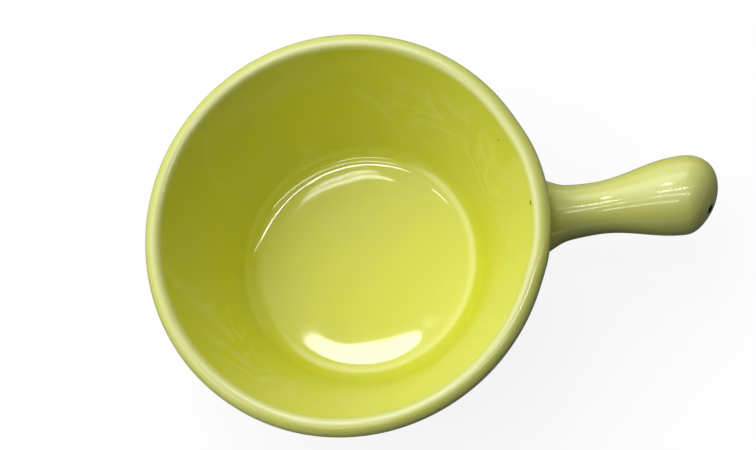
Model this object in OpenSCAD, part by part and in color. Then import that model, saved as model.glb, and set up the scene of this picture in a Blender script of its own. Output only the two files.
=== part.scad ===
// Handled ramekin: a glazed clay bowl with one club-shaped handle luted to its side.
// Origin on the bowl's axis, on the surface that the foot ring stands on. +X towards the handle, +Z up.

/* [Bowl] */
// Outer diameter over the lip
rim_d = 127; // [122:1:132]
// Height from the table to the top of the lip
bowl_h = 52; // [50:1:56]
// Radius of the lip's outer half
lip_out = 3.4; // [3:0.1:3.8]
// Radius of the lip's inner half
lip_in = 2.6; // [2.2:0.1:3]
// Lean of the outer wall, away from upright, where it meets the lip
lean_out = 18; // [15:1:21]
// Lean of the inner wall, away from upright, where it meets the lip
lean_in = 22; // [20:1:24]
// Radius of the floor inside, out to the ring where the wall begins
floor_r = 38.4; // [35:0.2:39]
// Height of that ring above the table
floor_edge_z = 8; // [7.6:0.1:8.6]
// How much lower the middle of the floor lies than the ring
floor_dish = 1.8; // [0.8:0.1:1.8]
// Width of the soft cove on the floor side of the ring
cove_w = 4; // [2:0.5:5]
// Height of the cove on the wall side of the ring
cove_h = 3.5; // [2:0.5:5]

/* [Foot] */
// Outer diameter of the foot ring
foot_d = 76; // [72:1:80]
// Height of the foot ring's side, up to the belly
foot_h = 3; // [2.5:0.25:4]
// Width of the foot ring
foot_w = 5.4; // [4:0.2:8]
// Depth of the recess inside the foot ring
recess = 2.4; // [1.6:0.1:2.8]
// Height of bare clay between the table and the glaze line
dry_h = 1.2; // [0.8:0.1:1.6]
// Bevel on the edges of the bare foot
foot_bevel = 0.5; // [0.3:0.1:0.8]

/* [Handle] */
// Distance from the bowl's axis to the tip of the handle
tip_x = 115; // [108:1:122]
// Height of the handle's axis above the table
handle_z = 30.7; // [29.5:0.1:32.5]
// Distance from the bowl's axis to the neck
neck_x = 77; // [74:0.5:80]
// Diameter of the neck
neck_d = 16.3; // [14.5:0.1:18]
// Distance from the bowl's axis to the widest part of the bulb
bulb_x = 104.2; // [98:0.2:106]
// Diameter of the bulb
bulb_d = 24.6; // [20:0.2:27]
// Thickness of the hollow handle's wall, glaze included
handle_wall = 4.6; // [4:0.2:5.4]
// Diameter of the vent pierced in the tip
vent_d = 2.6; // [1.6:0.2:3]
// Turn of the vent's axis away from the handle's axis, seen from above
vent_turn = -41; // [-60:1:60]
// Rise of the vent's axis above the horizontal
vent_lift = 18; // [0:1:30]

/* [Joint] */
// How far the flare at the root stands out from the neck, where it dies into the wall
fillet_rise = 5.8; // [4:0.2:7]
// Thickness of the slip between the handle's root and the wall
slip_t = 0.5; // [0.3:0.1:1]

/* [Glaze] */
// Thickness of the glaze coat
glaze_t = 0.4; // [0.3:0.05:0.6]

/* [Hidden] */
$fn = 96;

// Colours of the bare clay, of the slip and of the glaze
clay = "#e6dcc4";
slip = "#d9ccb0";
lime = "#cdd257";

rim_r = rim_d / 2;
crest_r = rim_r - lip_out;
foot_r = foot_d / 2;
foot_in_r = foot_r - foot_w;
neck_r = neck_d / 2;
bulb_r = bulb_d / 2;
toe_r = neck_r + fillet_rise;

// Number of steps along each stretch of the outlines
wall_steps = 24;
lip_steps = 9;
cove_steps = 6;
floor_steps = 10;
grip_steps = 12;
tip_steps = 9;
flare_steps = 8;
seat_steps = 3;
turn_steps = 48;

// How far the ring moves outward with each millimetre that it lies below the finished surface
ring_shift = 0.58;
// Power of the floor's curve, which keeps the middle flat and turns the edge up
dish_power = 4;
// How far a cutting shape starts inside the wall that it cuts
cut_depth = 1.5;
// Distance from the axis at which the handle's root is drawn, inside the wall
root_x = 45;

// Points strictly between a and b on the curve that k pulls towards itself
function bend(a, k, b, n) =
    [for (i = [1 : n - 1]) let (s = i / n) pow(1 - s, 2) * a + 2 * s * (1 - s) * k + s * s * b];

function reversed(path) = [for (i = [len(path) - 1 : -1 : 0]) path[i]];

// Radius at a height of a wall that curves from its base to its top, where it leans by the given angle
function wall_r(top, base, lean, z) =
    let (
        rise = top[1] - base[1],
        drop = top[1] - z,
        pull = ((top[0] - base[0]) / rise - tan(lean)) / rise
    )
    top[0] - tan(lean) * drop - pull * drop * drop;

// A surface with lift 0 is the finished, glazed one. A negative lift lies that far inside it.
// Point of the lip, on the arc of its outer or its inner radius
function lip_point(radius, a, lift) = [crest_r, bowl_h - radius] + (radius + lift) * [cos(a), sin(a)];

function lip(lift) = concat(
    [for (i = [1 : lip_steps]) lip_point(lip_out, (90 + lean_out) * i / lip_steps - lean_out, lift)],
    [for (i = [1 : lip_steps - 1]) lip_point(lip_in, 90 + (90 - lean_in) * i / lip_steps, lift)]
);

// Top of the outer wall, and the wall's radius at a height
function outer_top(lift) = lip_point(lip_out, -lean_out, lift);

function belly_r(z, lift) = wall_r(outer_top(lift), [foot_r + lift, foot_h], lean_out, z);

function outside(lift) =
    let (rise = outer_top(lift)[1] - foot_h)
    concat(
        [[foot_r + lift, dry_h]],
        [for (i = [0 : wall_steps]) let (z = foot_h + rise * i / wall_steps) [belly_r(z, lift), z]]
    );

function inside(lift) =
    let (
        top = lip_point(lip_in, 180 - lean_in, lift),
        ring = [floor_r - ring_shift * lift, floor_edge_z + lift],
        drop = top[1] - ring[1] - cove_h,
        well = [for (i = [0 : wall_steps]) let (z = top[1] - drop * i / wall_steps)
            [wall_r(top, ring, lean_in, z), z]],
        edge_r = ring[0] - cove_w,
        dish_z = function (r) ring[1] - floor_dish * (1 - pow(r / ring[0], dish_power)),
        edge = [edge_r, dish_z(edge_r)]
    )
    concat(
        well,
        bend(well[wall_steps], ring, edge, cove_steps),
        [for (i = [0 : floor_steps]) let (r = edge_r * (1 - i / floor_steps)) [r, dish_z(r)]]
    );

// The surface from the glaze line on the foot, up the outside, over the lip and down to the floor's middle
function skin(lift) = concat(outside(lift), lip(lift), inside(lift));

// Where the outer wall lies along +X
function wall_x(y, z, lift) = sqrt(pow(belly_r(z, lift), 2) - y * y);

// Point of the wall at a distance and a direction from the handle's axis
function wall_point(rho, turn, lift) =
    let (y = rho * cos(turn), z = handle_z + rho * sin(turn)) [wall_x(y, z, lift), y, z];

// Point of the flare between the neck (sweep 0) and the wall (sweep 90)
function flare_point(turn, sweep, lift) =
    let (
        r = neck_r + lift,
        neck = [neck_x, r * cos(turn), handle_z + r * sin(turn)],
        corner = wall_point(r, turn, lift),
        toe = wall_point(toe_r + lift, turn, lift)
    )
    neck + (corner - neck) * sin(sweep) + (toe - corner) * (1 - cos(sweep));

function flare(turn, lift) =
    [for (i = [0 : flare_steps]) flare_point(turn, 90 * i / flare_steps, lift)];

// Radius against length of the handle from its neck to its tip, as [radius, length]
function grip(lift) = concat(
    [for (i = [0 : grip_steps]) let (s = i / grip_steps)
        [neck_r + lift + (bulb_r - neck_r) * (1 - cos(180 * s)) / 2, neck_x + (bulb_x - neck_x) * s]],
    [for (i = [1 : tip_steps]) let (a = 90 * i / tip_steps)
        [i == tip_steps ? 0 : (bulb_r + lift) * cos(a), bulb_x + (tip_x + lift - bulb_x) * sin(a)]]
);

// The same as points in one direction around the handle's axis, without the neck and the tip
function grip_side(turn, lift) =
    let (outline = grip(lift))
    [for (i = [1 : len(outline) - 2]) let (r = outline[i][0])
        [outline[i][1], r * cos(turn), handle_z + r * sin(turn)]];

// A body turned about the handle's axis, from an outline of [radius, length] points
module along_handle(outline) {
    translate([0, 0, handle_z])
        rotate([0, 90, 0])
            rotate_extrude()
                polygon(outline);
}

// Everything within the outer wall, as a solid to cut with
module filled_bowl(lift) {
    rotate_extrude()
        polygon(concat([[0, dry_h]], outside(lift), [[0, outer_top(lift)[1]]]));
}

// A closed ring from its sections, each a closed loop of points
module ring_of(sections) {
    count = len(sections);
    size = len(sections[0]);
    polyhedron(
        points = [for (s = sections) each s],
        faces = [
            for (i = [0 : count - 1], j = [0 : size - 1])
                let (
                    k = (i + 1) % count,
                    m = (j + 1) % size,
                    a = i * size + j,
                    b = k * size + j,
                    c = k * size + m,
                    d = i * size + m
                )
                each [[a, b, c], [a, c, d]]
        ]
    );
}

// A cup with a wall, from sections that run from the outer pole over the cup's edge to the inner pole
module cup_of(sections, outer_pole, inner_pole) {
    count = len(sections);
    size = len(sections[0]);
    outer = count * size;
    inner = outer + 1;
    polyhedron(
        points = concat([for (s = sections) each s], [outer_pole, inner_pole]),
        faces = [
            for (i = [0 : count - 1])
                let (a = i * size, b = ((i + 1) % count) * size, last = size - 1)
                each concat(
                    [[outer, b, a], [inner, a + last, b + last]],
                    [for (j = [0 : size - 2]) each [[a + j, b + j, b + j + 1], [a + j, b + j + 1, a + j + 1]]]
                )
        ]
    );
}

// The vent pierced through the handle's tip
module vent() {
    translate([bulb_x, 0, handle_z])
        rotate([0, 90 - vent_lift, vent_turn])
            cylinder(h = bulb_d, d = vent_d);
}

// Directions around the handle's axis
turns = [for (i = [0 : turn_steps - 1]) 360 * i / turn_steps];

// Clay bowl with its bare foot ring
module bowl_body() {
    bare_r = foot_r - glaze_t;
    color(clay)
        rotate_extrude()
            polygon(concat(
                skin(-glaze_t),
                [
                    [0, recess],
                    [foot_in_r, recess],
                    [foot_in_r, foot_bevel],
                    [foot_in_r + foot_bevel, 0],
                    [bare_r - foot_bevel, 0],
                    [bare_r, foot_bevel]
                ]
            ));
}

// Hollow clay handle, its root cut to the wall, with the slip's thickness left free
module handle_body() {
    color(clay)
        difference() {
            along_handle(concat(
                [[neck_r - glaze_t, root_x]],
                grip(-glaze_t),
                reversed(grip(-handle_wall)),
                [[neck_r - handle_wall, root_x]]
            ));
            filled_bowl(slip_t - glaze_t);
            vent();
        }
}

// Slip between the root's end and the wall
module luting_slip() {
    color(slip)
        difference() {
            intersection() {
                along_handle([
                    [neck_r - handle_wall, root_x],
                    [neck_r - glaze_t, root_x],
                    [neck_r - glaze_t, neck_x],
                    [neck_r - handle_wall, neck_x]
                ]);
                filled_bowl(slip_t - glaze_t);
            }
            filled_bowl(-glaze_t);
        }
}

// Clay worked round the root, from the neck down to the wall
module joint_fillet() {
    seat_w = fillet_rise / seat_steps;
    color(clay)
        ring_of([
            for (turn = turns)
                concat(
                    flare(turn, -glaze_t),
                    [for (i = [1 : seat_steps]) wall_point(toe_r - glaze_t - seat_w * i, turn, -glaze_t)]
                )
        ]);
}

// Glaze of the bowl, open where the handle joins the wall
module bowl_glaze() {
    color(lime)
        difference() {
            rotate_extrude()
                polygon(concat(skin(0), reversed(skin(-glaze_t))));
            difference() {
                along_handle([[0, root_x], [toe_r, root_x], [toe_r, neck_x], [0, neck_x]]);
                filled_bowl(-glaze_t - cut_depth);
            }
        }
}

// Glaze of the handle and of the flare at its root, open where the vent comes out
module handle_glaze() {
    color(lime)
        difference() {
            cup_of(
                [
                    for (turn = turns)
                        concat(
                            reversed(grip_side(turn, 0)),
                            flare(turn, 0),
                            [wall_point(toe_r, turn, -glaze_t)],
                            reversed(flare(turn, -glaze_t)),
                            grip_side(turn, -glaze_t)
                        )
                ],
                [tip_x, 0, handle_z],
                [tip_x - glaze_t, 0, handle_z]
            );
            vent();
        }
}

// Glaze in the recess inside the foot ring
module base_glaze() {
    color(lime)
        translate([0, 0, recess - glaze_t])
            cylinder(h = glaze_t, r = foot_in_r);
}

bowl_body();
handle_body();
luting_slip();
joint_fillet();
bowl_glaze();
handle_glaze();
base_glaze();
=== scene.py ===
# Handled ramekin in glossy lime glaze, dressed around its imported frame
import math
import bmesh
import bpy
from mathutils import Matrix, Vector


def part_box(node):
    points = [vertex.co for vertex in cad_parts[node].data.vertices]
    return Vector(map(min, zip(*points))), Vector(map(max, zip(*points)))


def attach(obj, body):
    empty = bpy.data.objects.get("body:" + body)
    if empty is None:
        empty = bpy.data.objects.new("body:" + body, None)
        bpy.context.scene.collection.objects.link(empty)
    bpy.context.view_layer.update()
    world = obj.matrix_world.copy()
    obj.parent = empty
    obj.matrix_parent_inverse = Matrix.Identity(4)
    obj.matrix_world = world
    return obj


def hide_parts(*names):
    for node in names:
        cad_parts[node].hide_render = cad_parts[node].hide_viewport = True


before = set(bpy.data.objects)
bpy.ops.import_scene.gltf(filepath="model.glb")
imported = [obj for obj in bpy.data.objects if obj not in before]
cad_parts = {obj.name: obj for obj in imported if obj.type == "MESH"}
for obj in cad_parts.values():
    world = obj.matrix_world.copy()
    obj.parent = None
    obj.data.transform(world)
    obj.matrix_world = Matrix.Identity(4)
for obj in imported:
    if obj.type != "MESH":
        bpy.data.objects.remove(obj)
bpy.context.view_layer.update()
print("frame loaded:", ", ".join(sorted(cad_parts)))

mm = 0.001

# sizes that the frame gives
bowlLow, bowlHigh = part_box("bowl_glaze")
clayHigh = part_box("bowl_body")[1]
gripLow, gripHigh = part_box("handle_glaze")
baseLow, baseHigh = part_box("base_glaze")
rimR = bowlHigh.y
lipTop = bowlHigh.z
dryLine = bowlLow.z
coatT = bowlHigh.z - clayHigh.z
gripZ = (gripLow.z + gripHigh.z) / 2
toeR = (gripHigh.z - gripLow.z) / 2
tipX = gripHigh.x
recessR = baseHigh.x
recessTop = baseHigh.z


# small helpers for shapes and node trees

def softStep(value, low, high):
    share = max(0.0, min(1.0, (value - low) / (high - low)))
    return share * share * (3 - 2 * share)


def addNode(tree, kind, sockets=None, **fields):
    made = tree.nodes.new(kind)
    for name, value in fields.items():
        setattr(made, name, value)
    for key, value in (sockets or {}).items():
        if isinstance(value, bpy.types.NodeSocket):
            tree.links.new(value, made.inputs[key])
        else:
            made.inputs[key].default_value = value
    return made


def calc(tree, operation, a, b=None):
    sockets = {0: a} if b is None else {0: a, 1: b}
    return addNode(tree, "ShaderNodeMath", sockets, operation=operation).outputs[0]


def vectorCalc(tree, operation, a, b=None):
    sockets = {0: a} if b is None else {0: a, 1: b}
    outputs = addNode(tree, "ShaderNodeVectorMath", sockets, operation=operation).outputs
    return outputs["Value"] if operation in ("LENGTH", "DOT_PRODUCT") else outputs["Vector"]


def remap(tree, value, low, high, toLow=0.0, toHigh=1.0):
    sockets = {"Value": value, "From Min": low, "From Max": high, "To Min": toLow, "To Max": toHigh}
    return addNode(tree, "ShaderNodeMapRange", sockets, interpolation_type="SMOOTHSTEP").outputs[0]


def blendColour(tree, share, first, second):
    sockets = {0: share, 6: first, 7: second}
    return addNode(tree, "ShaderNodeMix", sockets, data_type="RGBA").outputs[2]


def rgba(colour):
    return (*colour, 1.0)


def openGroup(name, kind, sockets):
    tree = bpy.data.node_groups.new(name, kind)
    for direction, label, socketType, value in sockets:
        made = tree.interface.new_socket(label, in_out=direction, socket_type=socketType)
        if value is not None:
            made.default_value = value
    return tree, tree.nodes.new("NodeGroupInput").outputs, tree.nodes.new("NodeGroupOutput").inputs


def useGroup(tree, group, sockets):
    return addNode(tree, "ShaderNodeGroup", sockets, node_tree=group).outputs


# shader groups that the glaze, the clay and the slip share

def makeDriftGroup():
    # slow cloudy change over the surface, 0 to 1
    cloudLow, cloudHigh = 0.3, 0.7     # where most of the noise lies
    tree, given, out = openGroup("slowDrift", "ShaderNodeTree", [
        ("INPUT", "Vector", "NodeSocketVector", None),
        ("INPUT", "Scale", "NodeSocketFloat", 30.0),
        ("INPUT", "Seed", "NodeSocketFloat", 0.0),
        ("OUTPUT", "Drift", "NodeSocketFloat", None),
    ])
    cloud = addNode(tree, "ShaderNodeTexNoise", {
        "Vector": given["Vector"], "W": given["Seed"], "Scale": given["Scale"], "Detail": 2.0,
    }, noise_dimensions="4D")
    tree.links.new(remap(tree, cloud.outputs[0], cloudLow, cloudHigh), out["Drift"])
    return tree


def makeWavyReflectionGroup():
    # soft wavy lines that follow the wall round the axis, 0 to 1, used for painted reflections
    tree, given, out = openGroup("paintedWavyReflections", "ShaderNodeTree", [
        ("INPUT", "Vector", "NodeSocketVector", None),
        ("INPUT", "Around", "NodeSocketFloat", 3.0),
        ("INPUT", "Upward", "NodeSocketFloat", 100.0),
        ("INPUT", "Lines", "NodeSocketFloat", 4.0),
        ("INPUT", "Width", "NodeSocketFloat", 0.2),
        ("OUTPUT", "Run", "NodeSocketFloat", None),
    ])
    flat = vectorCalc(tree, "MULTIPLY", given["Vector"], (1.0, 1.0, 0.0))
    heading = vectorCalc(tree, "NORMALIZE", flat)
    wrapped = addNode(tree, "ShaderNodeVectorMath", {
        0: heading, "Scale": given["Around"]}, operation="SCALE").outputs[0]
    rise = addNode(tree, "ShaderNodeSeparateXYZ", {0: given["Vector"]}).outputs["Z"]
    lifted = addNode(tree, "ShaderNodeCombineXYZ", {
        "Z": calc(tree, "MULTIPLY", rise, given["Upward"])}).outputs[0]
    cloud = addNode(tree, "ShaderNodeTexNoise", {
        "Vector": vectorCalc(tree, "ADD", wrapped, lifted), "Scale": 1.0, "Detail": 1.0,
        "Roughness": 0.4, "Distortion": 0.3})
    level = calc(tree, "PINGPONG", calc(tree, "MULTIPLY", cloud.outputs[0], given["Lines"]), 0.5)
    tree.links.new(remap(tree, level, 0.0, given["Width"], 1.0, 0.0), out["Run"])
    return tree


def makeSpeckGroup():
    # sparse round specks: a share of the cells holds one
    leastSize, coreShare = 0.3, 0.5
    tree, given, out = openGroup("sparseSpecks", "ShaderNodeTree", [
        ("INPUT", "Vector", "NodeSocketVector", None),
        ("INPUT", "Density", "NodeSocketFloat", 200.0),
        ("INPUT", "Size", "NodeSocketFloat", 0.1),
        ("INPUT", "Share", "NodeSocketFloat", 0.1),
        ("OUTPUT", "Speck", "NodeSocketFloat", None),
    ])
    cells = addNode(tree, "ShaderNodeTexVoronoi", {"Vector": given["Vector"], "Scale": given["Density"]})
    pick = addNode(tree, "ShaderNodeSeparateColor", {0: cells.outputs["Color"]})
    chosen = calc(tree, "LESS_THAN", pick.outputs[0], given["Share"])
    radius = calc(tree, "MULTIPLY", given["Size"], calc(tree, "ADD", pick.outputs[1], leastSize))
    inner = calc(tree, "MULTIPLY", radius, coreShare)
    disc = remap(tree, cells.outputs["Distance"], inner, radius, 1.0, 0.0)
    tree.links.new(calc(tree, "MULTIPLY", chosen, disc), out["Speck"])
    return tree


def makeRippleGroup():
    # height for bump: long swell and fine skin, about 0 to 1
    tree, given, out = openGroup("swellAndSkin", "ShaderNodeTree", [
        ("INPUT", "Vector", "NodeSocketVector", None),
        ("INPUT", "Swell Scale", "NodeSocketFloat", 50.0),
        ("INPUT", "Skin Scale", "NodeSocketFloat", 400.0),
        ("INPUT", "Skin Share", "NodeSocketFloat", 0.1),
        ("OUTPUT", "Height", "NodeSocketFloat", None),
    ])
    swell = addNode(tree, "ShaderNodeTexNoise", {
        "Vector": given["Vector"], "Scale": given["Swell Scale"], "Detail": 1.0, "Roughness": 0.4})
    skin = addNode(tree, "ShaderNodeTexNoise", {
        "Vector": given["Vector"], "Scale": given["Skin Scale"], "Detail": 2.0})
    fine = calc(tree, "MULTIPLY", skin.outputs[0], given["Skin Share"])
    tree.links.new(calc(tree, "ADD", swell.outputs[0], fine), out["Height"])
    return tree


driftGroup = makeDriftGroup()
speckGroup = makeSpeckGroup()
wavyReflectionGroup = makeWavyReflectionGroup()
rippleGroup = makeRippleGroup()


# materials

coatForm = {                           # how thick the coat lies, as a share: 0 thin, 1 pooled
    "outside": 0.5,
    "inside": 0.94,
    "lowerEdge": 0.35,                 # how much thicker it lies at its lower edge
    "lowerReach": 5 * mm,
    "recess": 0.55,
    "recessEdge": 0.4,                 # how much thicker it lies towards the foot ring
    "recessPower": 6,
    "recessBack": 0.6,
}

glazeLook = {
    "thin": (0.60, 0.635, 0.22),       # over the lip, where the coat runs thin; also the painted sheen on the crest of the bulb
    "coat": (0.58, 0.605, 0.14),       # handle and outer wall
    "pooled": (0.62, 0.63, 0.040),     # inside, where it lies thick
    "speckColour": (0.16, 0.15, 0.03),
    "driftScale": 38.0,
    "driftSeed": 3.0,
    "driftAmount": 0.16,
    "speckDensity": 85.0,
    "speckSize": 0.022,
    "speckShare": 0.10,
    "speckStrength": 0.6,
    "roughLow": 0.035,
    "roughHigh": 0.075,
    "dullBy": 0.07,                    # handle, lip and outside mirror less than the pooled inside
    "dullDepths": (0.55, 0.85),
    "swellScale": 58.0,
    "skinScale": 420.0,
    "skinShare": 0.03,
    "bumpDistance": 0.15 * mm,
    "ior": 1.60,
    # painted reflections: paler wavy lines mixed into the colour of the inner wall
    "reflectionColour": (0.72, 0.745, 0.15),
    "reflectionShare": 0.40,
    "reflectionDepths": (0.6, 0.9),           # they show only where the coat lies thick
    "reflectionAround": 2.6,
    "reflectionUpward": 85.0,
    "reflectionLines": 5.0,
    "reflectionWidth": 0.30,
    "reflectionCore": 0.4,
    "wavyReflections": [                          # patches of faint painted wavy reflections on the inner wall: centre, then half widths
        ((40.0 * mm, 30.0 * mm, 30.0 * mm), (34.0 * mm, 50.0 * mm, 20.0 * mm)),
        ((-40.0 * mm, -30.0 * mm, 32.0 * mm), (30.0 * mm, 36.0 * mm, 18.0 * mm)),
    ],
    "pinholeCore": 0.45,
    "pinholes": [                      # centre, then half widths
        ((50.7 * mm, 22.2 * mm, 45.1 * mm), (0.55 * mm, 0.55 * mm, 0.6 * mm)),
        ((57.9 * mm, -1.1 * mm, 50.2 * mm), (0.9 * mm, 1.2 * mm, 1.0 * mm)),
    ],
}


def startMaterial(name):
    material = bpy.data.materials.new(name)
    material.use_nodes = True
    tree = material.node_tree
    tree.nodes.clear()
    out = tree.nodes.new("ShaderNodeOutputMaterial")
    shader = tree.nodes.new("ShaderNodeBsdfPrincipled")
    tree.links.new(shader.outputs[0], out.inputs["Surface"])
    place = tree.nodes.new("ShaderNodeTexCoord").outputs["Object"]
    return material, tree, shader.inputs, place


def spotMask(tree, place, centre, halfWidths, core):
    # 1 within the core's share of a rounded spot, falling to 0 at its edge
    scaled = vectorCalc(tree, "DIVIDE", vectorCalc(tree, "SUBTRACT", place, centre), halfWidths)
    return remap(tree, vectorCalc(tree, "LENGTH", scaled), core, 1.0, 1.0, 0.0)


ventDarkening = {                          # near-black colour over the vent's mouth and its walls
    "centre": (111.4 * mm, -6.8 * mm, 33.7 * mm),
    "colour": (0.012, 0.012, 0.010),
    "glazeReach": 2.0 * mm,
    "clayReach": 3.6 * mm,
    "core": 0.62,
}


# paints a near-black spot round the vent's centre
def darkenedAtVent(tree, place, colour, reach):
    share = spotMask(tree, place, ventDarkening["centre"], (reach, reach, reach), ventDarkening["core"])
    return blendColour(tree, share, colour, rgba(ventDarkening["colour"]))


def glazeMarks(tree, place):
    # specks all over, and the two pinholes
    look = glazeLook
    specks = useGroup(tree, speckGroup, {
        "Vector": place, "Density": look["speckDensity"], "Size": look["speckSize"],
        "Share": look["speckShare"]})["Speck"]
    marks = calc(tree, "MULTIPLY", specks, look["speckStrength"])
    for centre, halfWidths in look["pinholes"]:
        hole = spotMask(tree, place, centre, halfWidths, look["pinholeCore"])
        marks = calc(tree, "MAXIMUM", marks, hole)
    return marks


def paintedReflections(tree, place, depth):
    # faint painted wavy reflections, kept to their patches of the inner wall
    look = glazeLook
    lines = useGroup(tree, wavyReflectionGroup, {
        "Vector": place, "Around": look["reflectionAround"], "Upward": look["reflectionUpward"],
        "Lines": look["reflectionLines"], "Width": look["reflectionWidth"]})["Run"]
    patch = 0.0
    for centre, halfWidths in look["wavyReflections"]:
        patch = calc(tree, "MAXIMUM", patch, spotMask(tree, place, centre, halfWidths, look["reflectionCore"]))
    patch = calc(tree, "MULTIPLY", patch, remap(tree, depth, *look["reflectionDepths"], 0.0, look["reflectionShare"]))
    return calc(tree, "MULTIPLY", lines, patch)


def makeGlaze():
    look = glazeLook
    material, tree, shader, place = startMaterial("limeGlaze")
    depth = addNode(tree, "ShaderNodeAttribute", attribute_name="coatDepthAndSheen").outputs["Fac"]
    drift = useGroup(tree, driftGroup, {
        "Vector": place, "Scale": look["driftScale"], "Seed": look["driftSeed"]})["Drift"]
    sway = calc(tree, "MULTIPLY", calc(tree, "SUBTRACT", drift, 0.5), look["driftAmount"])
    ramp = addNode(tree, "ShaderNodeValToRGB", {0: calc(tree, "ADD", depth, sway)})
    stops = ramp.color_ramp.elements
    stops[0].position = 0.0
    stops[0].color = rgba(look["thin"])
    stops[1].position = 1.0
    stops[1].color = rgba(look["pooled"])
    stops.new(coatForm["outside"]).color = rgba(look["coat"])
    marks = glazeMarks(tree, place)
    wavyReflections = paintedReflections(tree, place, depth)
    # painted reflections: paler wavy lines blended into the inner wall's colour
    body = blendColour(tree, wavyReflections, ramp.outputs[0], rgba(look["reflectionColour"]))
    colour = blendColour(tree, marks, body, rgba(look["speckColour"]))
    tree.links.new(darkenedAtVent(tree, place, colour, ventDarkening["glazeReach"]), shader["Base Color"])
    gloss = remap(tree, drift, 0.0, 1.0, look["roughLow"], look["roughHigh"])
    dulled = remap(tree, depth, *look["dullDepths"], look["dullBy"], 0.0)
    tree.links.new(calc(tree, "ADD", gloss, dulled), shader["Roughness"])
    height = useGroup(tree, rippleGroup, {
        "Vector": place, "Swell Scale": look["swellScale"], "Skin Scale": look["skinScale"],
        "Skin Share": look["skinShare"]})["Height"]
    height = calc(tree, "SUBTRACT", height, marks)
    bump = addNode(tree, "ShaderNodeBump", {"Height": height, "Distance": look["bumpDistance"]})
    tree.links.new(bump.outputs[0], shader["Normal"])
    shader["IOR"].default_value = look["ior"]
    return material


clayLooks = {
    "bareClay": {
        "pale": (0.80, 0.71, 0.55),
        "deep": (0.66, 0.55, 0.39),
        "speckColour": (0.30, 0.20, 0.12),
        "driftScale": 70.0,
        "driftSeed": 8.0,
        "speckDensity": 700.0,
        "speckSize": 0.30,
        "speckShare": 0.16,
        "roughLow": 0.62,
        "roughHigh": 0.82,
        "swellScale": 260.0,
        "skinScale": 1900.0,
        "skinShare": 0.6,
        "bumpDistance": 0.12 * mm,
    },
    "firedSlip": {
        "pale": (0.71, 0.62, 0.46),
        "deep": (0.60, 0.50, 0.35),
        "speckColour": (0.34, 0.25, 0.15),
        "driftScale": 110.0,
        "driftSeed": 8.0,
        "speckDensity": 900.0,
        "speckSize": 0.25,
        "speckShare": 0.08,
        "roughLow": 0.70,
        "roughHigh": 0.88,
        "swellScale": 420.0,
        "skinScale": 2600.0,
        "skinShare": 0.6,
        "bumpDistance": 0.10 * mm,
    },
}


def makeClay(name):
    look = clayLooks[name]
    material, tree, shader, place = startMaterial(name)
    drift = useGroup(tree, driftGroup, {
        "Vector": place, "Scale": look["driftScale"], "Seed": look["driftSeed"]})["Drift"]
    body = blendColour(tree, drift, rgba(look["pale"]), rgba(look["deep"]))
    grain = useGroup(tree, speckGroup, {
        "Vector": place, "Density": look["speckDensity"], "Size": look["speckSize"],
        "Share": look["speckShare"]})["Speck"]
    colour = blendColour(tree, grain, body, rgba(look["speckColour"]))
    tree.links.new(darkenedAtVent(tree, place, colour, ventDarkening["clayReach"]), shader["Base Color"])
    tree.links.new(remap(tree, drift, 0.0, 1.0, look["roughLow"], look["roughHigh"]), shader["Roughness"])
    height = useGroup(tree, rippleGroup, {
        "Vector": place, "Swell Scale": look["swellScale"], "Skin Scale": look["skinScale"],
        "Skin Share": look["skinShare"]})["Height"]
    height = calc(tree, "SUBTRACT", height, grain)
    bump = addNode(tree, "ShaderNodeBump", {"Height": height, "Distance": look["bumpDistance"]})
    tree.links.new(bump.outputs[0], shader["Normal"])
    return material


limeGlaze = makeGlaze()
bareClay = makeClay("bareClay")
firedSlip = makeClay("firedSlip")
print("materials made:", limeGlaze.name, bareClay.name, firedSlip.name)


# outline of the bowl: lift 0 is the finished surface, -coatT the clay under the coat

bowlForm = {
    "lipOut": 3.4 * mm,
    "lipIn": 2.6 * mm,
    "leanOut": math.radians(18),
    "leanIn": math.radians(22),
    "floorR": 38.4 * mm,
    "floorEdge": 8 * mm,
    "floorDish": 1.8 * mm,
    "dishPower": 4,
    "coveW": 4 * mm,
    "coveH": 3.5 * mm,
    "ringShift": 0.58,
    "paleIn": (0.3 * mm, 3.8 * mm),    # the coat thins over the lip: distances from its crest
    "paleOut": (0.0, 0.9 * mm),        # at which it is thinnest and at which it is full again
    "footW": 5.4 * mm,
    "footH": 3 * mm,
    "footRound": 0.7 * mm,
    "roundSteps": 8,
    "recessSteps": 8,
    "recessSide": 0.7,       # height of a point on the recess's side, as a share of its depth
    "heelR": 1.6 * mm,       # glaze gathered where the foot meets the belly
    "heelRise": 0.8,         # how far up the belly it reaches, as a share of heelR
    "heelSteps": 8,
    "beadR": 0.35 * mm,      # rolled lower edge of the coat
    "bead": [(1.0, 0.60), (0.75, 0.10), (0.35, 0.0), (0.0, 0.35)],  # inwards in coats, upwards in beadR
    "beadProud": 0.05 * mm,
    "wallSteps": 64,
    "lipSteps": 22,
    "coveSteps": 14,
    "floorSteps": 26,
    "hiddenSteps": 0.35,     # share of those steps on surfaces inside the pot
    "leastSteps": 4,
    "segments": 288,
    "sway": 0.16 * mm,       # how far the hand-finished wall strays from true
    "swayScale": 21.0,
    "swayFoot": 14 * mm,     # height at which it has its full amount
    "oval": 0.012,           # how far the rim is drawn out across the handle's line
    "ovalTurn": math.radians(89.5),
    "edgeWander": 0.35 * mm,
    "edgeFade": 3.2 * mm,
    "seed": 11.0,
}
footR = recessR + bowlForm["footW"]
crestR = rimR - bowlForm["lipOut"]


def stepsOf(name, lift):
    share = 1.0 if lift == 0 else bowlForm["hiddenSteps"]
    return max(bowlForm["leastSteps"], round(bowlForm[name] * share))


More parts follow.
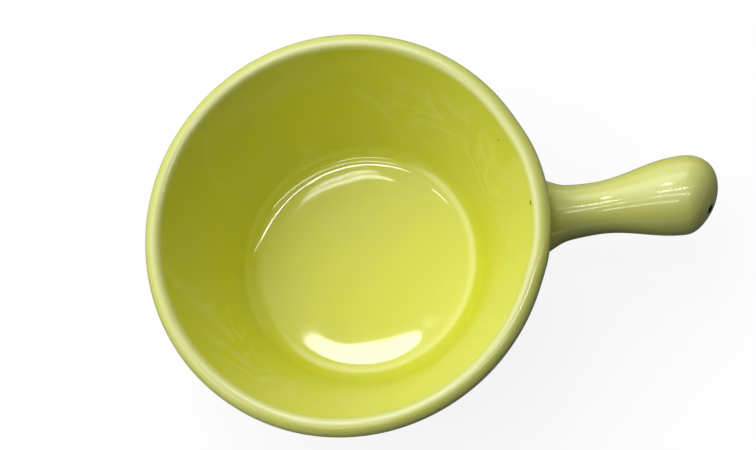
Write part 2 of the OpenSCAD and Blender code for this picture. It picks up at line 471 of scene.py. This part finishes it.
def quadBend(a, k, b, count):
    # points strictly between a and b on the curve that k pulls towards itself
    shares = [i / count for i in range(1, count)]
    weights = [((1 - s) ** 2, 2 * s * (1 - s), s * s) for s in shares]
    return [tuple(u * p + v * q + w * r for p, q, r in zip(a, k, b)) for u, v, w in weights]


def wallR(top, base, lean, z):
    # radius at a height of a wall that curves from its base to its leaning top
    rise = top[1] - base[1]
    drop = top[1] - z
    pull = ((top[0] - base[0]) / rise - math.tan(lean)) / rise
    return top[0] - math.tan(lean) * drop - pull * drop * drop


def lipPoint(radius, a, lift):
    return crestR + (radius + lift) * math.cos(a), lipTop - radius + (radius + lift) * math.sin(a)


def outerTop(lift):
    return lipPoint(bowlForm["lipOut"], -bowlForm["leanOut"], lift)


def bellyR(z, lift):
    return wallR(outerTop(lift), (footR + lift, bowlForm["footH"]), bowlForm["leanOut"], z)


def outerWall(lift):
    count = stepsOf("wallSteps", lift)
    corner = (footR + lift, bowlForm["footH"])
    below = (footR + lift, corner[1] - bowlForm["heelR"])
    start = corner[1] + bowlForm["heelR"] * bowlForm["heelRise"]
    rise = outerTop(lift)[1] - start
    heights = [start + rise * i / count for i in range(count + 1)]
    wall = [(bellyR(z, lift), z) for z in heights]
    return [below] + quadBend(below, corner, wall[0], bowlForm["heelSteps"]) + wall


def lipTurns(count):
    # angles along the lip, over its outer half and then its inner half
    low, high = -bowlForm["leanOut"], math.pi - bowlForm["leanIn"]
    outer = [low + (math.pi / 2 - low) * i / count for i in range(1, count + 1)]
    inner = [math.pi / 2 + (high - math.pi / 2) * i / count for i in range(1, count)]
    return outer, inner


def lipArc(lift):
    outer, inner = lipTurns(stepsOf("lipSteps", lift))
    arc = [lipPoint(bowlForm["lipOut"], a, lift) for a in outer]
    return arc + [lipPoint(bowlForm["lipIn"], a, lift) for a in inner]


def innerWall(lift):
    count = stepsOf("wallSteps", lift)
    floorCount = stepsOf("floorSteps", lift)
    top = lipPoint(bowlForm["lipIn"], math.pi - bowlForm["leanIn"], lift)
    ring = (bowlForm["floorR"] - bowlForm["ringShift"] * lift, bowlForm["floorEdge"] + lift)
    drop = top[1] - ring[1] - bowlForm["coveH"]
    heights = [top[1] - drop * i / count for i in range(count + 1)]
    wall = [(wallR(top, ring, bowlForm["leanIn"], z), z) for z in heights]
    edgeR = ring[0] - bowlForm["coveW"]

    def dishZ(r):
        return ring[1] - bowlForm["floorDish"] * (1 - (r / ring[0]) ** bowlForm["dishPower"])

    cove = quadBend(wall[-1], ring, (edgeR, dishZ(edgeR)), stepsOf("coveSteps", lift))
    radii = [edgeR * (1 - i / floorCount) for i in range(floorCount + 1)]
    return wall + cove + [(r, dishZ(r)) for r in radii]


def coatBead():
    # rolled edge of the coat, from the clay out to the finished surface
    radius = bowlForm["beadR"]
    roll = [(footR - coatT * inward, dryLine + radius * up) for inward, up in bowlForm["bead"]]
    return roll + [(footR + bowlForm["beadProud"], dryLine + radius)]


def coatDepths():
    # how thick the coat lies along the shown outline
    lows = [max(0.0, 1 - (z - dryLine) / coatForm["lowerReach"]) for r, z in outerWall(0)]
    outside = [coatForm["outside"] + coatForm["lowerEdge"] * low for low in lows]
    outer, inner = lipTurns(stepsOf("lipSteps", 0))
    outerWay = [(math.pi / 2 - a) * bowlForm["lipOut"] for a in outer]
    innerWay = [(a - math.pi / 2) * bowlForm["lipIn"] for a in inner]
    rollEnd = (math.pi / 2 - bowlForm["leanIn"]) * bowlForm["lipIn"]
    wall = innerWall(0)
    wallWay = [rollEnd + (wall[0][1] - z) / math.cos(bowlForm["leanIn"]) for r, z in wall]
    over = [coatForm["outside"] * softStep(way, *bowlForm["paleOut"]) for way in outerWay]
    inside = [coatForm["inside"] * softStep(way, *bowlForm["paleIn"]) for way in innerWay + wallWay]
    return outside + over + inside


def coatOutline():
    hidden = list(reversed(outerWall(-coatT) + lipArc(-coatT) + innerWall(-coatT)))
    shown = outerWall(0) + lipArc(0) + innerWall(0)
    points = [(r, z, coatForm["outside"]) for r, z in hidden]
    points += [(r, z, coatForm["outside"] + coatForm["lowerEdge"]) for r, z in coatBead()]
    points += [(r, z, d) for (r, z), d in zip(shown, coatDepths())]
    return points


def roundCorner(centre, radius, start, sweep, count):
    turns = [math.radians(start + sweep * i / count) for i in range(count + 1)]
    return [(centre[0] + radius * math.cos(a), centre[1] + radius * math.sin(a)) for a in turns]


def clayOutline():
    bend = bowlForm["footRound"]
    bareR = footR - coatT
    count = bowlForm["recessSteps"]
    under = [(recessR * i / count, recessTop) for i in range(count + 1)]
    under += [(recessR, recessTop * bowlForm["recessSide"])]
    under += roundCorner((recessR + bend, bend), bend, 180, 90, bowlForm["roundSteps"])
    under += [((recessR + bareR) / 2, 0.0)]
    under += roundCorner((bareR - bend, bend), bend, 270, 90, bowlForm["roundSteps"])
    shown = under + outerWall(-coatT) + lipArc(-coatT) + innerWall(-coatT)
    return [(r, z, coatForm["outside"]) for r, z in shown]


baseForm = {
    "meniscus": 1.5 * mm,    # width over which the coat climbs the foot's inner side
    "climb": 0.45 * mm,
    "cornerGap": 0.12 * mm,  # distances from the foot's inner side
    "edgeGap": 0.02 * mm,
    "sideGap": 0.01 * mm,
    "faceSteps": 12,
    "climbSteps": 10,
}


def baseOutline():
    face = baseLow.z
    wide = recessR - baseForm["meniscus"]
    side = recessR - baseForm["sideGap"]
    count = baseForm["faceSteps"]
    under = [(wide * i / count, face) for i in range(count + 1)]
    corner = (recessR - baseForm["cornerGap"], face)
    edge = (recessR - baseForm["edgeGap"], face - baseForm["climb"])
    under += quadBend(under[-1], corner, edge, baseForm["climbSteps"]) + [edge, (side, face)]
    upper = [(side, recessTop), (wide, recessTop), (0.0, recessTop)]
    rises = [(r / recessR) ** coatForm["recessPower"] for r, z in under]
    pooled = [(r, z, coatForm["recess"] + coatForm["recessEdge"] * w) for (r, z), w in zip(under, rises)]
    return pooled + [(r, z, coatForm["recessBack"]) for r, z in upper]


# geometry nodes: turn an outline about the bowl's axis

latheForm = {
    "calmR": 20 * mm,        # the sideways sway fades out from here to the axis
    "upShare": 0.6,          # how much of the sway goes up and down
    "wanderScale": 75.0,
    "wanderSeed": 20.0,      # added to the piece's own seed
    "wanderMiddle": 0.4,
    "heldFrom": 0.90,        # cosines of the turn from the handle, between which its root
    "heldTo": 0.98,          # comes to hold the rim round
    "weld": 0.002 * mm,
}


def outlineAt(tree, outline, value, row, kind):
    sockets = {"Geometry": outline, "Value": value, "Index": row}
    return addNode(tree, "GeometryNodeSampleIndex", sockets, data_type=kind, domain="POINT").outputs[0]


def turnedPoint(tree, radius, cosine, sine, height):
    return addNode(tree, "ShaderNodeCombineXYZ", {
        "X": calc(tree, "MULTIPLY", radius, cosine), "Y": calc(tree, "MULTIPLY", radius, sine),
        "Z": height}).outputs[0]


def latheSway(tree, given, around, height):
    # slow stray of the hand-finished wall, none at the foot
    cloud = addNode(tree, "ShaderNodeTexNoise", {
        "Vector": around, "W": given["Seed"], "Scale": given["Sway Scale"], "Detail": 1.0},
        noise_dimensions="4D").outputs[0]
    sway = calc(tree, "MULTIPLY", calc(tree, "SUBTRACT", cloud, 0.5), 2.0)
    lifted = remap(tree, height, 0.0, given["Sway Foot"])
    return calc(tree, "MULTIPLY", calc(tree, "MULTIPLY", sway, lifted), given["Sway"])


def latheWander(tree, given, around, height):
    # the coat's lower edge wanders up and down
    seed = calc(tree, "ADD", given["Seed"], latheForm["wanderSeed"])
    cloud = addNode(tree, "ShaderNodeTexNoise", {
        "Vector": around, "W": seed, "Scale": latheForm["wanderScale"], "Detail": 2.0},
        noise_dimensions="4D").outputs[0]
    wander = calc(tree, "SUBTRACT", cloud, latheForm["wanderMiddle"])
    wander = calc(tree, "MULTIPLY", wander, given["Edge Wander"])
    return calc(tree, "MULTIPLY", wander, remap(tree, height, 0.0, given["Edge Fade"], 1.0, 0.0))


def latheOval(tree, given, turn, cosine, height):
    # the rim is slightly oval, except where the handle's root holds it
    twice = calc(tree, "MULTIPLY", calc(tree, "SUBTRACT", turn, given["Oval Turn"]), 2.0)
    oval = calc(tree, "MULTIPLY", calc(tree, "COSINE", twice), given["Oval"])
    free = remap(tree, cosine, latheForm["heldFrom"], latheForm["heldTo"], 1.0, 0.0)
    oval = calc(tree, "MULTIPLY", oval, free)
    return calc(tree, "MULTIPLY", oval, calc(tree, "DIVIDE", height, given["Oval Height"]))


def makeLatheTree():
    tree, given, out = openGroup("turnedForm", "GeometryNodeTree", [
        ("INPUT", "Outline", "NodeSocketGeometry", None),
        ("INPUT", "Segments", "NodeSocketInt", 128),
        ("INPUT", "Sway", "NodeSocketFloat", 0.0),
        ("INPUT", "Sway Scale", "NodeSocketFloat", 1.0),
        ("INPUT", "Sway Foot", "NodeSocketFloat", 0.01),
        ("INPUT", "Oval", "NodeSocketFloat", 0.0),
        ("INPUT", "Oval Turn", "NodeSocketFloat", 0.0),
        ("INPUT", "Oval Height", "NodeSocketFloat", 0.05),
        ("INPUT", "Edge Wander", "NodeSocketFloat", 0.0),
        ("INPUT", "Edge Fade", "NodeSocketFloat", 0.003),
        ("INPUT", "Seed", "NodeSocketFloat", 0.0),
        ("INPUT", "Finish", "NodeSocketMaterial", None),
        ("OUTPUT", "Form", "NodeSocketGeometry", None),
    ])
    size = addNode(tree, "GeometryNodeAttributeDomainSize", {0: given["Outline"]}, component="MESH")
    points = size.outputs["Point Count"]
    grid = addNode(tree, "GeometryNodeMeshGrid", {
        "Vertices X": calc(tree, "ADD", given["Segments"], 1.0), "Vertices Y": points})
    index = tree.nodes.new("GeometryNodeInputIndex").outputs[0]
    row = calc(tree, "MODULO", index, points)
    column = calc(tree, "FLOOR", calc(tree, "DIVIDE", index, points))
    turn = calc(tree, "MULTIPLY", calc(tree, "DIVIDE", column, given["Segments"]), 2 * math.pi)
    place = tree.nodes.new("GeometryNodeInputPosition").outputs[0]
    spot = outlineAt(tree, given["Outline"], place, row, "FLOAT_VECTOR")
    named = addNode(tree, "GeometryNodeInputNamedAttribute", {"Name": "coatDepthAndSheen"}, data_type="FLOAT")
    depth = outlineAt(tree, given["Outline"], named.outputs[0], row, "FLOAT")
    split = addNode(tree, "ShaderNodeSeparateXYZ", {0: spot})
    radius = split.outputs["X"]
    height = split.outputs["Z"]
    cosine = calc(tree, "COSINE", turn)
    sine = calc(tree, "SINE", turn)
    # one noise field for every turned piece, so that coat and clay stray together
    around = turnedPoint(tree, radius, cosine, sine, height)
    sway = latheSway(tree, given, around, height)
    oval = latheOval(tree, given, turn, cosine, height)
    drawnR = calc(tree, "MULTIPLY", radius, calc(tree, "ADD", oval, 1.0))
    outward = calc(tree, "MULTIPLY", sway, remap(tree, radius, 0.0, latheForm["calmR"]))
    upward = calc(tree, "MULTIPLY", sway, latheForm["upShare"])
    strayedR = calc(tree, "ADD", drawnR, outward)
    wander = latheWander(tree, given, around, height)
    strayedZ = calc(tree, "ADD", calc(tree, "ADD", height, upward), wander)
    target = turnedPoint(tree, strayedR, cosine, sine, strayedZ)
    kept = addNode(tree, "GeometryNodeStoreNamedAttribute", {
        "Geometry": grid.outputs["Mesh"], "Name": "coatDepthAndSheen", "Value": depth},
        data_type="FLOAT", domain="POINT")
    moved = addNode(tree, "GeometryNodeSetPosition", {"Geometry": kept.outputs[0], "Position": target})
    joined = addNode(tree, "GeometryNodeMergeByDistance", {
        "Geometry": moved.outputs[0], "Distance": latheForm["weld"]})
    smooth = addNode(tree, "GeometryNodeSetShadeSmooth", {"Geometry": joined.outputs[0]})
    real = addNode(tree, "GeometryNodeRealizeInstances", {"Geometry": smooth.outputs[0]})
    dressed = addNode(tree, "GeometryNodeSetMaterial", {
        "Geometry": real.outputs[0], "Material": given["Finish"]})
    tree.links.new(dressed.outputs[0], out["Form"])
    return tree


latheTree = makeLatheTree()
latheSockets = [item for item in latheTree.interface.items_tree if item.in_out == "INPUT"]
latheIds = {socket.name: socket.identifier for socket in latheSockets}


def plainMesh(piece):
    depsgraph = bpy.context.evaluated_depsgraph_get()
    mesh = bpy.data.meshes.new_from_object(piece.evaluated_get(depsgraph))
    piece.modifiers.clear()
    piece.data = mesh
    mesh.name = piece.name


def turnPiece(name, outline, finish, edgeWander):
    mesh = bpy.data.meshes.new(name + "Outline")
    edges = [(i, i + 1) for i in range(len(outline) - 1)]
    mesh.from_pydata([(r, 0, z) for r, z, d in outline], edges, [])
    depth = mesh.attributes.new("coatDepthAndSheen", "FLOAT", "POINT")
    depth.data.foreach_set("value", [d for r, z, d in outline])
    piece = bpy.data.objects.new(name, mesh)
    bpy.context.scene.collection.objects.link(piece)
    lathe = piece.modifiers.new("turn", "NODES")
    lathe.node_group = latheTree
    values = {
        "Segments": bowlForm["segments"], "Sway": bowlForm["sway"], "Sway Scale": bowlForm["swayScale"],
        "Sway Foot": bowlForm["swayFoot"], "Oval": bowlForm["oval"], "Oval Turn": bowlForm["ovalTurn"],
        "Oval Height": lipTop, "Edge Wander": edgeWander, "Edge Fade": bowlForm["edgeFade"],
        "Seed": bowlForm["seed"], "Finish": finish,
    }
    for label, value in values.items():
        lathe[latheIds[label]] = value
    plainMesh(piece)
    return piece


def settle(piece, slot, *nodes):
    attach(piece, "root")
    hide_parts(*nodes)
    form = bmesh.new()
    form.from_mesh(piece.data)
    loose = sum(1 for edge in form.edges if not edge.is_manifold)
    volume = form.calc_volume(signed=True) / (10 * mm) ** 3
    print(piece.name, len(form.faces), "faces, open edges", loose, "volume cm3 %.2f" % volume)
    form.free()


bowlGlaze = turnPiece("bowlGlaze", coatOutline(), limeGlaze, bowlForm["edgeWander"])
settle(bowlGlaze, "glaze", "bowl_glaze")
bowlClay = turnPiece("bowlClay", clayOutline(), bareClay, 0.0)
settle(bowlClay, "clay", "bowl_body")
baseGlaze = turnPiece("baseGlaze", baseOutline(), limeGlaze, 0.0)
settle(baseGlaze, "glaze", "base_glaze")


# handle: flare off the wall, neck, bulb and rounded tip

handleForm = {
    "neckX": 77 * mm,
    "neckR": 8.15 * mm,
    "bulbX": 104.2 * mm,
    "bulbR": 12.3 * mm,
    "toeSink": 0.25 * mm,    # the flare's edge dips under the bowl's own coat
    "toeReach": 0.7 * mm,
    "swell": 1.7 * mm,       # the flare stands fuller at both sides, just outside the lip
    "swellFrom": math.radians(24),
    "swellFull": math.radians(52),
    "swellPower": 3,         # odd, so that it keeps its side
    "gather": 0.35,          # how much thicker the coat lies in the corner under the lip
    "gatherFull": 60 * mm,
    "gatherEnd": 69 * mm,
    "paintedSheen": 0.42,         # painted sheen: how much paler the coat's colour is made on the crest of the bulb
    "paintedSheenFrom": 7.5 * mm,  # heights above the handle's axis
    "paintedSheenFull": 12 * mm,
    "turns": 144,
    "flareSteps": 30,
    "gripSteps": 40,
    "tipSteps": 26,
    "wall": 4.6 * mm,
    "slip": 0.1 * mm,        # how far the clay's root stays off the bowl's finished surface
    "slant": 0.216,          # the end is set slantwise: reach gained per sideways distance
    "slantFrom": 16 * mm,    # measured back from the tip
    "ventR": 1.3 * mm,
    "ventTurn": -41,
    "ventLift": 18,
    "ventSides": 40,
}


def wallPoint(rho, turn, lift=0.0):
    y = rho * math.cos(turn)
    z = gripZ + rho * math.sin(turn)
    return Vector((math.sqrt(bellyR(z, lift) ** 2 - y * y), y, z))


def slanted(point):
    share = softStep(point.x, tipX - handleForm["slantFrom"], tipX)
    return Vector((point.x + handleForm["slant"] * point.y * share, point.y, point.z))


def flarePoint(turn, sweep):
    r = handleForm["neckR"]
    neck = Vector((handleForm["neckX"], r * math.cos(turn), gripZ + r * math.sin(turn)))
    corner = wallPoint(r, turn)
    toe = wallPoint(toeR, turn)
    full = handleForm["swellFull"]
    share = softStep(sweep, handleForm["swellFrom"], full) * (1 - softStep(sweep, full, math.pi / 2))
    sideways = math.cos(turn) ** handleForm["swellPower"]
    swell = Vector((0, handleForm["swell"] * share * sideways, 0))
    return neck + (corner - neck) * math.sin(sweep) + (toe - corner) * (1 - math.cos(sweep)) + swell


def gripOutline(lift):
    # radius and length from just past the neck to just before the tip
    neckR, bulbR = handleForm["neckR"] + lift, handleForm["bulbR"] + lift
    neckX, bulbX = handleForm["neckX"], handleForm["bulbX"]
    count = handleForm["gripSteps"]
    shares = [i / count for i in range(1, count + 1)]
    swells = [(1 - math.cos(math.pi * s)) / 2 for s in shares]
    grip = [(neckR + (bulbR - neckR) * w, neckX + (bulbX - neckX) * s) for w, s in zip(swells, shares)]
    count = handleForm["tipSteps"]
    turns = [math.pi / 2 * i / count for i in range(1, count)]
    return grip + [(bulbR * math.cos(a), bulbX + (tipX + lift - bulbX) * math.sin(a)) for a in turns]


def gripSide(turn, lift):
    points = [Vector((x, r * math.cos(turn), gripZ + r * math.sin(turn))) for r, x in gripOutline(lift)]
    return [slanted(point) for point in points]


def handleRings(turn):
    sunk = wallPoint(toeR + handleForm["toeReach"], turn) - Vector((handleForm["toeSink"], 0, 0))
    count = handleForm["flareSteps"]
    flare = [flarePoint(turn, math.pi / 2 * (1 - i / count)) for i in range(count + 1)]
    return [sunk] + flare + gripSide(turn, 0.0)


def clayRings(turn):
    # from the inner pole's side of the hollow out to its root, over the root's end and along the outside
    hollow = handleForm["neckR"] - handleForm["wall"]
    outer = handleForm["neckR"] - coatT
    inside = gripSide(turn, -handleForm["wall"])
    seat = [wallPoint(hollow, turn, handleForm["slip"]), wallPoint(outer, turn, handleForm["slip"])]
    neck = Vector((handleForm["neckX"], outer * math.cos(turn), gripZ + outer * math.sin(turn)))
    return list(reversed(inside)) + seat + [neck] + gripSide(turn, -coatT)


def makeHandle(name, rings, poles, finish):
    # a pole may be missing, which leaves that end open
    count = handleForm["turns"]
    form = bmesh.new()
    depth = form.verts.layers.float.new("coatDepthAndSheen")
    sides = [[form.verts.new(point) for point in rings(2 * math.pi * k / count)] for k in range(count)]
    ends = [point and form.verts.new(point) for point in poles]
    size = len(sides[0])
    for k, side in enumerate(sides):
        nextSide = sides[(k + 1) % count]
        for i in range(size - 1):
            form.faces.new((side[i], nextSide[i], nextSide[i + 1], side[i + 1]))
        if ends[0]:
            form.faces.new((nextSide[0], side[0], ends[0]))
        form.faces.new((side[-1], nextSide[-1], ends[1]))
    # the coat lies thicker in the corner under the lip; the crest of the bulb is painted paler, towards
    # the thin colour, as a painted sheen
    for vert in form.verts:
        corner = 1 - softStep(vert.co.x, handleForm["gatherFull"], handleForm["gatherEnd"])
        top = softStep(vert.co.z - gripZ, handleForm["paintedSheenFrom"], handleForm["paintedSheenFull"])
        thick = coatForm["outside"] + handleForm["gather"] * corner
        vert[depth] = thick - handleForm["paintedSheen"] * top * (1 - corner)
    bmesh.ops.recalc_face_normals(form, faces=form.faces)
    mesh = bpy.data.meshes.new(name)
    form.to_mesh(mesh)
    form.free()
    mesh.shade_smooth()
    mesh.materials.append(finish)
    piece = bpy.data.objects.new(name, mesh)
    bpy.context.scene.collection.objects.link(piece)
    return piece


def makeVentCutter():
    form = bmesh.new()
    bulbR = handleForm["bulbR"]
    radius = handleForm["ventR"]
    bmesh.ops.create_cone(form, cap_ends=True, segments=handleForm["ventSides"], radius1=radius,
                          radius2=radius, depth=bulbR)
    turn = math.radians(handleForm["ventTurn"])
    tilt = math.pi / 2 - math.radians(handleForm["ventLift"])
    aim = Matrix.Rotation(turn, 4, "Z") @ Matrix.Rotation(tilt, 4, "Y") @ Matrix.Translation((0, 0, bulbR))
    place = Matrix.Translation((handleForm["bulbX"], 0, gripZ)) @ aim
    bmesh.ops.transform(form, matrix=place, verts=form.verts)
    mesh = bpy.data.meshes.new("ventCutter")
    form.to_mesh(mesh)
    form.free()
    cutter = bpy.data.objects.new("ventCutter", mesh)
    bpy.context.scene.collection.objects.link(cutter)
    return cutter


def pierce(piece, cutter):
    cut = piece.modifiers.new("pierce", "BOOLEAN")
    cut.object = cutter
    cut.operation = "DIFFERENCE"
    plainMesh(piece)


ventCutter = makeVentCutter()
handleGlaze = makeHandle("handleGlaze", handleRings, [None, (tipX, 0, gripZ)], limeGlaze)
coat = handleGlaze.modifiers.new("coat", "SOLIDIFY")
coat.thickness = coatT
coat.offset = -1
pierce(handleGlaze, ventCutter)
settle(handleGlaze, "glaze", "handle_glaze")
clayTips = [(tipX - handleForm["wall"], 0, gripZ), (tipX - coatT, 0, gripZ)]
handleClay = makeHandle("handleClay", clayRings, clayTips, bareClay)
pierce(handleClay, ventCutter)
settle(handleClay, "clay", "handle_body")
bpy.data.objects.remove(ventCutter)


# pieces of the frame that stay as they are get their own finish

for nodeName, finish in {"joint_fillet": bareClay, "luting_slip": firedSlip}.items():
    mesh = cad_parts[nodeName].data
    mesh.materials.clear()
    mesh.materials.append(finish)
print("clay and slip dressed")


# floor, light and camera

stageForm = {
    "halfWidth": 4.0,
    "floorBounce": (0.12, 0.12, 0.12),  # what the floor throws back onto the dish
    "floorSeen": (0.95, 0.95, 0.95),   # what the eye sees of it
    "floorMirrored": (0.20, 0.20, 0.20),
    "whiteShare": 0.88,                # how far it is plain white to the eye, which softens the shadow
    "clearR": 0.35,                    # reflections see the floor's own shade this close in
    "fadeR": 1.2,
}


def mirrorRays(tree, rays):
    return calc(tree, "MAXIMUM", rays["Is Glossy Ray"], rays["Is Transmission Ray"])


def seenRays(tree, rays, share):
    # rays of the eye, and a share of the mirrored ones
    mirrored = calc(tree, "MULTIPLY", mirrorRays(tree, rays), share)
    return calc(tree, "MAXIMUM", rays["Is Camera Ray"], mirrored)


def makeFloor():
    half = stageForm["halfWidth"]
    mesh = bpy.data.meshes.new("floor")
    corners = [(-half, -half, 0), (half, -half, 0), (half, half, 0), (-half, half, 0)]
    mesh.from_pydata(corners, [], [(0, 1, 2, 3)])
    floor = bpy.data.objects.new("floor", mesh)
    bpy.context.scene.collection.objects.link(floor)
    material = bpy.data.materials.new("paleFloor")
    material.use_nodes = True
    tree = material.node_tree
    tree.nodes.clear()
    out = tree.nodes.new("ShaderNodeOutputMaterial")
    white = addNode(tree, "ShaderNodeEmission", {"Strength": 1.0})
    place = tree.nodes.new("ShaderNodeTexCoord").outputs["Object"]
    far = remap(tree, vectorCalc(tree, "LENGTH", place), stageForm["clearR"], stageForm["fadeR"])
    rays = tree.nodes.new("ShaderNodeLightPath").outputs
    share = calc(tree, "MULTIPLY", seenRays(tree, rays, far), stageForm["whiteShare"])
    mirrored = mirrorRays(tree, rays)
    tint = blendColour(tree, mirrored, rgba(stageForm["floorBounce"]), rgba(stageForm["floorMirrored"]))
    tint = blendColour(tree, rays["Is Camera Ray"], tint, rgba(stageForm["floorSeen"]))
    matt = addNode(tree, "ShaderNodeBsdfDiffuse", {"Color": tint})
    both = addNode(tree, "ShaderNodeMixShader", {0: share, 1: matt.outputs[0], 2: white.outputs[0]})
    tree.links.new(both.outputs[0], out.inputs["Surface"])
    mesh.materials.append(material)


skyForm = {
    "axis": 138,             # azimuth that the soft light comes from
    "side": 1.00,            # radiance of the bright half of the room
    "sideFrom": -0.05,
    "sideTo": 0.50,
    "window": 2.00,          # radiance of the broad window band in it
    "windowFrom": 0.15,
    "windowTo": 0.50,
    "windowLow": 0.57,       # sine of the band's lower and upper elevation
    "windowHigh": 0.865,
    "windowSoft": 0.07,
    "fill": 0.05,            # radiance of its dim half
    "top": 0.45,             # radiance straight above
    "topFrom": 0.78,
    "topTo": 0.97,
    "whiteTo": 0.06,         # up to this sine, reflections see a white horizon
    "leastLevel": 1e-4,      # keeps the division sound straight above
}


def makeWorld():
    look = skyForm
    world = bpy.data.worlds.new("studio")
    bpy.context.scene.world = world
    world.use_nodes = True
    tree = world.node_tree
    tree.nodes.clear()
    out = tree.nodes.new("ShaderNodeOutputWorld")
    place = tree.nodes.new("ShaderNodeTexCoord").outputs["Generated"]
    rise = addNode(tree, "ShaderNodeSeparateXYZ", {0: place}).outputs["Z"]
    turn = math.radians(look["axis"])
    towards = vectorCalc(tree, "DOT_PRODUCT", place, (math.cos(turn), math.sin(turn), 0.0))
    level = calc(tree, "SUBTRACT", 1.0, calc(tree, "MULTIPLY", rise, rise))
    level = calc(tree, "SQRT", calc(tree, "MAXIMUM", level, look["leastLevel"]))
    around = calc(tree, "DIVIDE", towards, level)
    side = remap(tree, towards, look["sideFrom"], look["sideTo"], look["fill"], look["side"])
    soft = look["windowSoft"]
    lower = remap(tree, rise, look["windowLow"] - soft, look["windowLow"] + soft)
    upper = remap(tree, rise, look["windowHigh"] - soft, look["windowHigh"] + soft, 1.0, 0.0)
    window = calc(tree, "MULTIPLY", calc(tree, "MULTIPLY", lower, upper), look["window"])
    window = calc(tree, "MULTIPLY", window, remap(tree, around, look["windowFrom"], look["windowTo"]))
    top = remap(tree, rise, look["topFrom"], look["topTo"], 0.0, look["top"])
    shine = calc(tree, "ADD", calc(tree, "ADD", side, window), top)
    sky = addNode(tree, "ShaderNodeBackground", {"Color": shine, "Strength": 1.0})
    white = addNode(tree, "ShaderNodeBackground", {"Color": rgba((1.0, 1.0, 1.0)), "Strength": 1.0})
    rays = tree.nodes.new("ShaderNodeLightPath").outputs
    seen = seenRays(tree, rays, remap(tree, rise, 0.0, look["whiteTo"], 1.0, 0.0))
    both = addNode(tree, "ShaderNodeMixShader", {0: seen, 1: sky.outputs[0], 2: white.outputs[0]})
    tree.links.new(both.outputs[0], out.inputs["Surface"])


ceilingZ = 1.4
ceilingLamps = {
    # both ends as shares of the ceiling's height, then width and radiance
    "tubeNear": ((-0.26, 0.055), (0.50, 0.052), 0.028, 19.0),
    "tubeReach": ((0.50, 0.052), (1.20, 0.050), 0.028, 6.0),
    "tubeMiddle": ((-0.33, -0.16), (0.66, -0.33), 0.045, 8.0),
    "tubeFar": ((-0.46, -0.52), (0.00, -0.58), 0.060, 8.0),
    "tubeShort": ((-0.311, 0.180), (-0.257, 0.164), 0.012, 12.0),
    "panelDim": ((-0.155, 0.168), (-0.050, 0.168), 0.046, 2.0),
    "panelEdgeNear": ((-0.158, 0.186), (-0.050, 0.178), 0.011, 7.0),
    "panelEdgeFar": ((-0.152, 0.153), (-0.056, 0.150), 0.009, 7.0),
    "panelBright": ((-0.202, 0.420), (-0.028, 0.420), 0.142, 9.0),
}
roundLamps = ("panelBright",)
# these show in the gloss only
glintLamps = ("tubeReach", "tubeMiddle", "tubeFar", "tubeShort")
# these hang just under the panel, at a share of the ceiling's height
lowLamps = {"panelEdgeNear": 0.97, "panelEdgeFar": 0.97}


def makeLamp(name, start, end, width, radiance):
    height = ceilingZ * lowLamps.get(name, 1.0)
    a = Vector((*start, 1.0)) * height
    b = Vector((*end, 1.0)) * height
    data = bpy.data.lights.new(name, "AREA")
    data.shape = "ELLIPSE" if name in roundLamps else "RECTANGLE"
    data.size = (b - a).length
    data.size_y = width * height
    area = data.size * data.size_y * (math.pi / 4 if name in roundLamps else 1.0)
    data.energy = 4 * radiance * area
    lamp = bpy.data.objects.new(name, data)
    lamp.location = (a + b) / 2
    lamp.rotation_euler.z = math.atan2(b.y - a.y, b.x - a.x)
    lamp.visible_camera = False
    lamp.visible_diffuse = name not in glintLamps
    bpy.context.scene.collection.objects.link(lamp)


cameraForm = {
    "azimuth": 19.88,
    "elevation": 71.72,
    "roll": -27.64,
    "distance": 555.7 * mm,
    "aim": (9.61 * mm, 2.52 * mm, 40.0 * mm),
    "lens": 85,
}


def makeCamera():
    a, e, r = (math.radians(cameraForm[key]) for key in ("azimuth", "elevation", "roll"))
    back = Vector((math.sin(a) * math.cos(e), -math.cos(a) * math.cos(e), math.sin(e)))
    side = Vector((0, 0, 1)).cross(back).normalized()
    up = back.cross(side)
    right = side * math.cos(r) + up * math.sin(r)
    data = bpy.data.cameras.new("camera")
    data.lens = cameraForm["lens"]
    camera = bpy.data.objects.new("camera", data)
    turn = Matrix((right, back.cross(right), back)).transposed().to_4x4()
    spot = Vector(cameraForm["aim"]) + back * cameraForm["distance"]
    camera.matrix_world = Matrix.Translation(spot) @ turn
    bpy.context.scene.collection.objects.link(camera)
    bpy.context.scene.camera = camera


makeFloor()
makeWorld()
for lampName, lampForm in ceilingLamps.items():
    makeLamp(lampName, *lampForm)
makeCamera()
bpy.context.scene.view_settings.view_transform = "Standard"
print("stage, lamps and camera ready")
